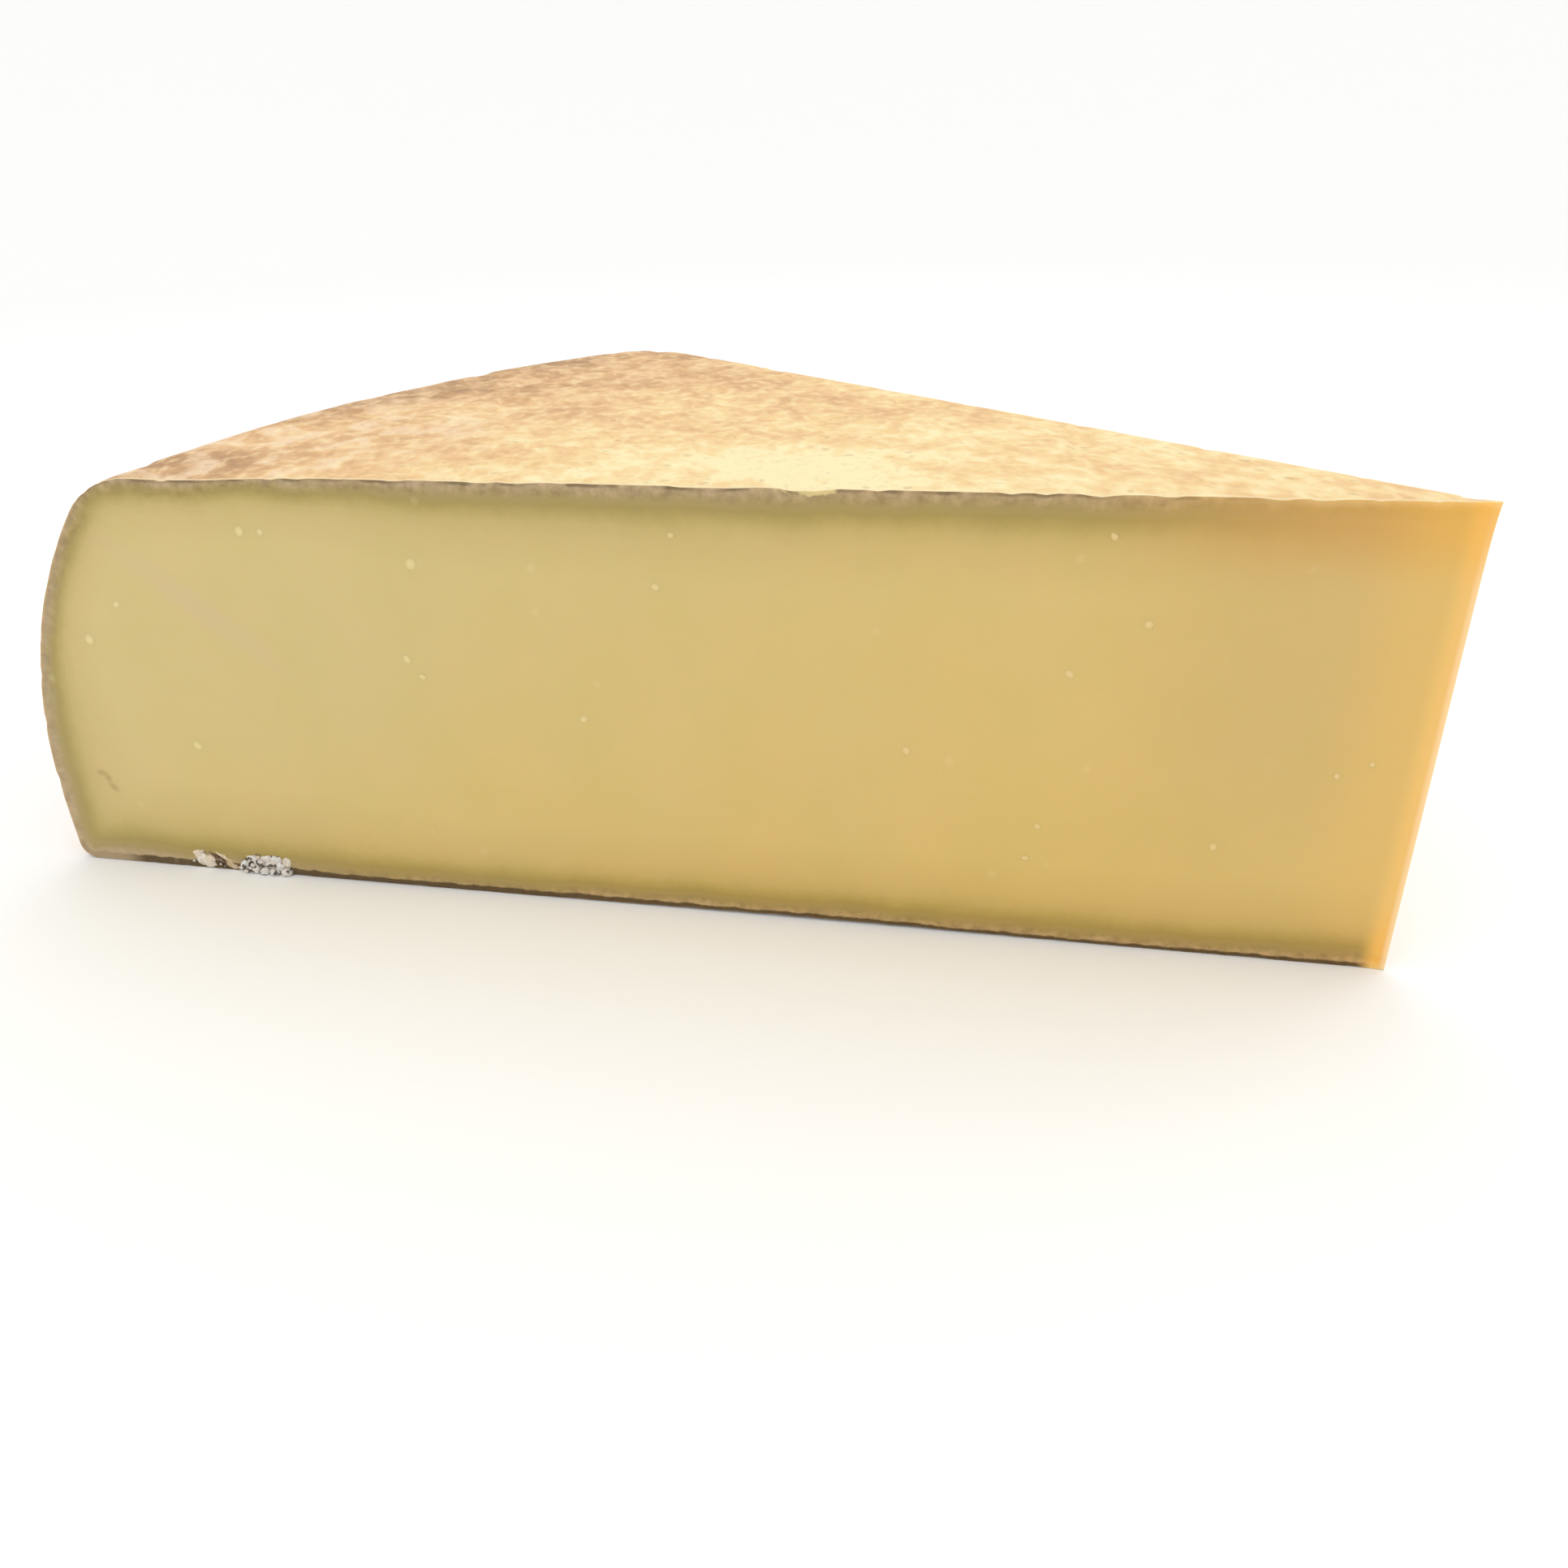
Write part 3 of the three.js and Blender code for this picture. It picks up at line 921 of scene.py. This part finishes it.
# a unit ball as rings between two poles: (cos up * cos round, cos up * sin round, sin up), in triangles
def unitBall(spokes, rings):
    rounds = np.arange(spokes) * 2 * np.pi / spokes
    ups = -np.pi / 2 + np.arange(1, rings + 1) * np.pi / (rings + 1)
    up, around = np.meshgrid(ups, rounds, indexing="ij")
    ring = np.stack([np.cos(up) * np.cos(around), np.cos(up) * np.sin(around), np.sin(up)], axis=-1)
    points = np.vstack([[[0, 0, -1]], ring.reshape(-1, 3), [[0, 0, 1]]])
    number = 1 + np.arange(rings * spokes).reshape(rings, spokes)
    beside = np.roll(number, -1, axis=1)
    low = np.stack([np.zeros(spokes, int), beside[0], number[0]], axis=1)
    high = np.stack([np.full(spokes, len(points) - 1), number[-1], beside[-1]], axis=1)
    first = np.stack([number[:-1], beside[:-1], beside[1:]], axis=-1).reshape(-1, 3)
    second = np.stack([number[:-1], beside[1:], number[1:]], axis=-1).reshape(-1, 3)
    return points, np.vstack([low, first, second, high])


# copies of the ball: each is dented, scaled by its half axes, turned in its face and moved to its centre
def lumpMesh(name, centres, frames, halfAxes, turns, tones, dents, finish, seed, spokes, rings):
    ball, triangles = unitBall(spokes, rings)
    random = np.random.default_rng(seed)
    swell = 1 + dents * random.uniform(-1, 1, (len(centres), len(ball), 1))
    local = ball[None] * swell * halfAxes[:, None]
    turnCos, turnSin = np.cos(turns)[:, None], np.sin(turns)[:, None]
    sideways = local[..., 0] * turnCos - local[..., 1] * turnSin
    upward = local[..., 0] * turnSin + local[..., 1] * turnCos
    local = np.stack([sideways, upward, local[..., 2]], axis=-1)
    points = centres[:, None] + np.einsum("nij,nvj->nvi", frames, local)
    points[..., 2] = np.maximum(points[..., 2], 0.02 * mm)  # they rest on the floor
    faces = triangles[None] + (np.arange(len(centres)) * len(ball))[:, None, None]
    made = meshObject(name, points.reshape(-1, 3), faces.reshape(-1, 3), [finish])
    storeValues(made, "core", np.broadcast_to(ball[:, 2], points.shape[:2]))
    storeValues(made, "tone", np.broadcast_to(tones[:, None], points.shape[:2]))
    storeValues(made, "underRind", np.minimum(points[..., 2], height - points[..., 2]))
    return made


# places on the cut faces, each with its frame (sideways, up, outward) as columns
def facePlaces(along, level, outside, onBack):
    angle = np.where(onBack, cutAngle, 0.0)
    side = np.where(onBack, 1.0, -1.0)
    still = np.zeros(len(along))
    direction = np.stack([-np.cos(angle), np.sin(angle), still], axis=1)
    outward = np.stack([side * np.sin(angle), side * np.cos(angle), still], axis=1)
    up = np.broadcast_to([0.0, 0.0, 1.0], direction.shape)
    flat = along[:, None] * direction + level[:, None] * up
    standing = outside + knifeWaves(flat)
    centres = np.array([tip[0], tip[1], 0]) + flat + standing[:, None] * outward
    return centres, np.stack([np.cross(up, outward), up, outward], axis=2)


crystals = {
    # seen on the front cut: distance from the tip, height and half width, in mm
    "front": (
        (208, 82, 1.35), (247, 88, 1.2), (293, 61, 1.3), (213, 60, 1.05), (210, 56, 0.8), (173, 48, 0.95),
        (272, 35, 1.25), (154, 79, 0.9), (102, 45, 1.0), (70, 64, 0.95), (56, 75, 0.95), (38, 27, 0.9),
        (74, 29, 0.75), (76, 21, 0.75), (17, 45, 0.7), (11, 48, 0.6), (64, 92, 0.8), (242, 88, 0.8),
        (150, 90, 0.7), (283, 70, 0.9),
    ),
    "backCount": 24,
    "backRadius": (0.6 * mm, 1.2 * mm),
    "sunk": 0.15 * mm,
    "thickness": 0.21 * mm,
    "swell": 1.75,
    "stretch": (0.85, 1.2),
    "dents": 0.10,
    "seed": 5,
    "rimTone": paint(190, 160, 98),
    "coreTones": (paint(236, 204, 148), paint(230, 213, 154)),  # towards the tip, towards the heel
    "coreReach": (130 * mm, 200 * mm),
}


# the paste's own colour at the rim, paler in the middle
def crystalFinish():
    finish, tree, shader = newFinish("crystal")
    places = placesNode(tree, origin=(tip[0], tip[1], 0))
    body = pasteTone(tree, places)[0]
    core = storedNode(tree, "core")
    body = colourNode(tree, easeNode(tree, core, 0.68, 0.78, 0.0, 0.12), body, crystals["rimTone"])
    heelward = easeNode(tree, lengthNode(tree, places, keep=(1, 1, 0)), *crystals["coreReach"])
    coreTone = colourNode(tree, heelward, *crystals["coreTones"])
    body = colourNode(tree, easeNode(tree, core, 0.78, 1.0, 0.0, 0.7), body, coreTone)
    tree.links.new(body, shader.inputs["Base Color"])
    shader.inputs["Roughness"].default_value = 0.5
    shader.inputs["Subsurface Weight"].default_value = paste["subsurface"]
    shader.inputs["Subsurface Scale"].default_value = 1 * mm
    return finish


def buildCrystals():
    random = np.random.default_rng(crystals["seed"])
    seen = np.array(crystals["front"]) * mm
    count = crystals["backCount"]
    along = np.concatenate([seen[:, 0], random.uniform(20 * mm, reach - 30 * mm, count)])
    level = np.concatenate([seen[:, 1], random.uniform(10 * mm, height - 10 * mm, count)])
    radius = np.concatenate([seen[:, 2], random.uniform(*crystals["backRadius"], count)])
    onBack = np.arange(len(along)) >= len(seen)
    centres, frames = facePlaces(along, level, np.full(len(along), -crystals["sunk"]), onBack)
    stretch = random.uniform(*crystals["stretch"], len(radius))
    thick = np.full(len(radius), crystals["thickness"])
    wide = crystals["swell"] * radius
    halfAxes = np.stack([wide * stretch, wide / stretch, thick], axis=1)
    turns = random.uniform(0, np.pi, len(radius))
    tones = np.ones(len(radius))
    return lumpMesh("face_crystals", centres, frames, halfAxes, turns, tones, crystals["dents"],
                    crystalFinish(), crystals["seed"], spokes=16, rings=7)


faceCrystals = buildCrystals()
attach(faceCrystals, "root")
print("crystals built")


# crumbs: a chalky cracked lump, a cream flake and a tan ridge at the foot of the front cut

crumbs = {
    # distance from the tip, height, half sizes along, up and out, all in mm, turn in degrees, tone
    "seen": (
        (267.9, 1.9, 1.1, 1.8, 1.0, -25, 1.0), (265.5, 3.9, 2.0, 1.1, 1.1, -14, 1.0),
        (263.4, 2.3, 1.4, 1.8, 1.5, 20, 0.95), (262.4, 0.9, 1.5, 1.2, 1.6, 10, 1.0),
        (261.5, 4.2, 2.0, 1.2, 1.1, 0, 0.95), (258.9, 3.9, 1.9, 1.6, 1.4, 20, 1.0),
        (259.4, 0.9, 1.2, 1.3, 1.6, 0, 1.0), (256.0, 3.5, 1.4, 1.8, 1.2, -10, 0.8),
        (256.4, 1.0, 1.7, 1.2, 1.5, 5, 0.95), (257.8, 2.4, 1.3, 1.4, 1.5, 40, 1.0),
        (269.3, 0.8, 0.8, 0.8, 0.8, 0, 0.8), (260.8, 2.7, 1.0, 1.2, 1.1, 60, 0.95),
        (280.0, 2.3, 2.1, 2.0, 0.9, 20, 0.8), (281.2, 3.9, 1.4, 1.4, 0.7, 0, 0.7),
        (278.3, 1.0, 1.8, 1.1, 0.9, -10, 0.8), (277.6, 2.6, 1.2, 1.2, 0.7, 0, 0.7),
        # the thin lump of tone 0 beside the tan ridge is a dark lobe standing for the ridge's painted
        # shadow
        (273.4, 3.6, 3.0, 0.75, 0.7, -34, 0.45), (274.8, 2.8, 3.2, 0.35, 0.35, -34, 0.0),
        (271.6, 1.2, 2.2, 0.9, 0.6, -20, 0.3),
    ),
    "lean": 1.5 * mm,  # the main lump stands out by this much at the floor
    "leanHeight": 4 * mm,  # and by nothing from here up
    "leanEnd": 268 * mm,  # distance from the tip at which the main lump ends
    "sunkShare": 0.75,  # of a lump's outward half size
    "smallCount": 44,
    "smallInMain": 0.75,  # share of the small ones that lies in the main place
    "smallRadius": (0.3 * mm, 0.6 * mm),
    "smallTone": (0.7, 1.0),
    "dents": 0.16,
    "seed": 11,
    "chalk": (
        # the darkest stop gives that painted shadow lobe its brown
        (0.0, paint(108, 84, 58)),
        (0.4, paint(214, 188, 146)),
        (0.7, paint(226, 208, 182)),
        (1.0, paint(222, 217, 210)),
    ),
    "lightTone": paint(246, 243, 238),
    "crackSpacing": 1.35 * mm,
    # painted shade in the cracks
    "crackShadeTone": paint(74, 60, 44),
    # painted shade where a lump sinks into the face
    "rimTone": paint(96, 82, 66),
}


# chalk by the stored tone, with painted shade in cracks where it is palest, and painted shade where a lump
# sinks in
def crumbFinish():
    finish, tree, shader = newFinish("crumb")
    places = placesNode(tree)
    tone = storedNode(tree, "tone")
    grain = cloudNode(tree, places, 1.2 * mm, detail=4.0, coarseness=0.65)
    chalk = rampNode(tree, tone, crumbs["chalk"])
    chalk = colourNode(tree, easeNode(tree, grain, 0.50, 0.62, 0.0, 0.5), chalk, crumbs["lightTone"])
    # painted shade in the cracks
    cracks = plusNode(tree, scatterNode(tree, places, crumbs["crackSpacing"]),
                      timesNode(tree, grain, 0.4 * mm))
    crackShadeShare = timesNode(tree, easeNode(tree, cracks, 0.98 * mm, 1.14 * mm, 0.0, 0.9),
                           easeNode(tree, tone, 0.82, 0.92))
    chalk = colourNode(tree, crackShadeShare, chalk, crumbs["crackShadeTone"])
    # painted shade where a lump sinks into the face
    sinkShadeShare = timesNode(tree, easeNode(tree, storedNode(tree, "core"), 0.42, 0.0, 0.0, 0.7),
                         easeNode(tree, tone, 0.7, 0.95, 0.35, 1.0))
    chalk = colourNode(tree, sinkShadeShare, chalk, crumbs["rimTone"])
    tree.links.new(chalk, shader.inputs["Base Color"])
    tree.links.new(bumpNode(tree, grain, 0.4 * mm), shader.inputs["Normal"])
    shader.inputs["Roughness"].default_value = 0.9
    return finish


def buildCrumbs():
    random = np.random.default_rng(crumbs["seed"])
    seen = np.array(crumbs["seen"])
    count = crumbs["smallCount"]
    inMain = random.uniform(0, 1, count) < crumbs["smallInMain"]
    middle, half, top = (np.where(inMain, *crumbPatch[name]) for name in ("along", "halfWidth", "rise"))
    off = np.sqrt(random.uniform(0.1, 0.9, count))
    turn = random.uniform(0, np.pi, count)
    radius = random.uniform(*crumbs["smallRadius"], count)
    along = np.concatenate([seen[:, 0] * mm, middle + off * np.cos(turn) * half])
    level = np.concatenate([seen[:, 1] * mm, np.maximum(off * np.sin(turn) * top, radius * 1.3)])
    halfAxes = np.concatenate([seen[:, 2:5] * mm, radius[:, None] * random.uniform(0.8, 1.3, (count, 3))])
    lean = crumbs["lean"] * np.clip(1 - level / crumbs["leanHeight"], 0, 1) * (along < crumbs["leanEnd"])
    seenSunk = crumbs["sunkShare"] * halfAxes[:len(seen), 2]
    sunk = np.concatenate([seenSunk, random.uniform(0.2, 0.7, count) * mm])
    turns = np.concatenate([np.radians(seen[:, 5]), random.uniform(0, np.pi, count)])
    tones = np.concatenate([seen[:, 6], random.uniform(*crumbs["smallTone"], count)])
    centres, frames = facePlaces(along, level, lean - sunk, np.zeros(len(along), bool))
    return lumpMesh("rind_crumbs", centres, frames, halfAxes, turns, tones, crumbs["dents"],
                    crumbFinish(), crumbs["seed"], spokes=18, rings=9)


rindCrumbs = buildCrumbs()
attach(rindCrumbs, "root")
print("crumbs built")


# stage: pale bowl-shaped floor, soft lights and the camera

stage = {
    "centreRadius": 0.001,
    "innerRadius": 0.1,
    "flatRadius": 1.6,
    "outerRadius": 3.2,
    "rings": 40,
    "spokes": 96,
    "wallHeight": 1.5,
    "floorTone": paint(251, 251, 250),
    "worldTone": (1.0, 1.0, 1.0, 1.0),
    "worldStrength": 1.0,
    # name, place, what it shines at, size, power, tone
    "lights": (
        ("sky_light", (-0.1, 0.35, 1.3), (0, 0, 0.05), 1.0, 2.0, (1.0, 0.99, 0.97)),
        ("window_light", (-0.7, -1.1, 0.7), (0, -0.1, 0.04), 1.0, 1.6, (1.0, 1.0, 0.99)),
        ("tip_light", (0.7, 0.45, 0.45), (0.15, -0.1, 0.05), 0.5, 0.8, (1.0, 0.98, 0.95)),
    ),
}


# the floor: flat to one radius, then rising as the square of the way out, turned about the vertical
def buildFloor():
    rings = np.linspace(stage["innerRadius"], stage["outerRadius"], stage["rings"])
    outs = np.concatenate([[stage["centreRadius"]], rings])
    turns = np.linspace(0, 2 * np.pi, stage["spokes"] + 1)
    share = np.clip((outs - stage["flatRadius"]) / (stage["outerRadius"] - stage["flatRadius"]), 0, 1)
    level = stage["wallHeight"] * share ** 2
    out, turn = np.meshgrid(outs, turns, indexing="ij")
    rise = np.broadcast_to(level[:, None], out.shape)
    grid = np.stack([out * np.cos(turn), out * np.sin(turn), rise], axis=-1)
    finish, _, shader = newFinish("pale_floor")
    shader.inputs["Base Color"].default_value = stage["floorTone"]
    shader.inputs["Roughness"].default_value = 0.9
    quads = gridQuads(*grid.shape[:2], False)
    return meshObject("floor", grid.reshape(-1, 3), quads, [finish])


def softLight(name, place, aim, size, power, tone):
    data = bpy.data.lights.new(name, "AREA")
    data.shape = "DISK"
    data.size = size
    data.energy = power
    data.color = tone
    lamp = bpy.data.objects.new(name, data)
    lamp.location = place
    lamp.rotation_euler = (Vector(aim) - Vector(place)).to_track_quat("-Z", "Y").to_euler()
    bpy.context.scene.collection.objects.link(lamp)


buildFloor()
for light in stage["lights"]:
    softLight(*light)
world = bpy.data.worlds.new("pale_room")
bpy.context.scene.world = world
world.use_nodes = True
background = world.node_tree.nodes["Background"]
background.inputs["Color"].default_value = stage["worldTone"]
background.inputs["Strength"].default_value = stage["worldStrength"]
bpy.context.scene.view_settings.view_transform = "Standard"

# the camera stands close, a little above the wedge and left of its tip, looking down and to the left
lens = {
    "beforeCut": 228.2 * mm,
    "leftOfTip": 79.8 * mm,
    "up": 159.1 * mm,
    "turn": 12.05,
    "tilt": -27.98,
    "roll": -1.94,
    "focal": 27.82,
    "sensor": 36,
    "nearest": 0.01,
    "farthest": 20,
}
cameraData = bpy.data.cameras.new("camera")
cameraData.sensor_width = lens["sensor"]
cameraData.lens = lens["focal"]
cameraData.clip_start = lens["nearest"]
cameraData.clip_end = lens["farthest"]
camera = bpy.data.objects.new("camera", cameraData)
cameraPlace = Matrix.Translation((tip[0] - lens["leftOfTip"], tip[1] - lens["beforeCut"], lens["up"]))
cameraTurn = Matrix.Rotation(math.radians(lens["turn"]), 4, "Z")
cameraTilt = Matrix.Rotation(math.radians(90 + lens["tilt"]), 4, "X")
cameraRoll = Matrix.Rotation(math.radians(lens["roll"]), 4, "Z")
camera.matrix_world = cameraPlace @ cameraTurn @ cameraTilt @ cameraRoll
bpy.context.scene.collection.objects.link(camera)
bpy.context.scene.camera = camera
print("stage built")
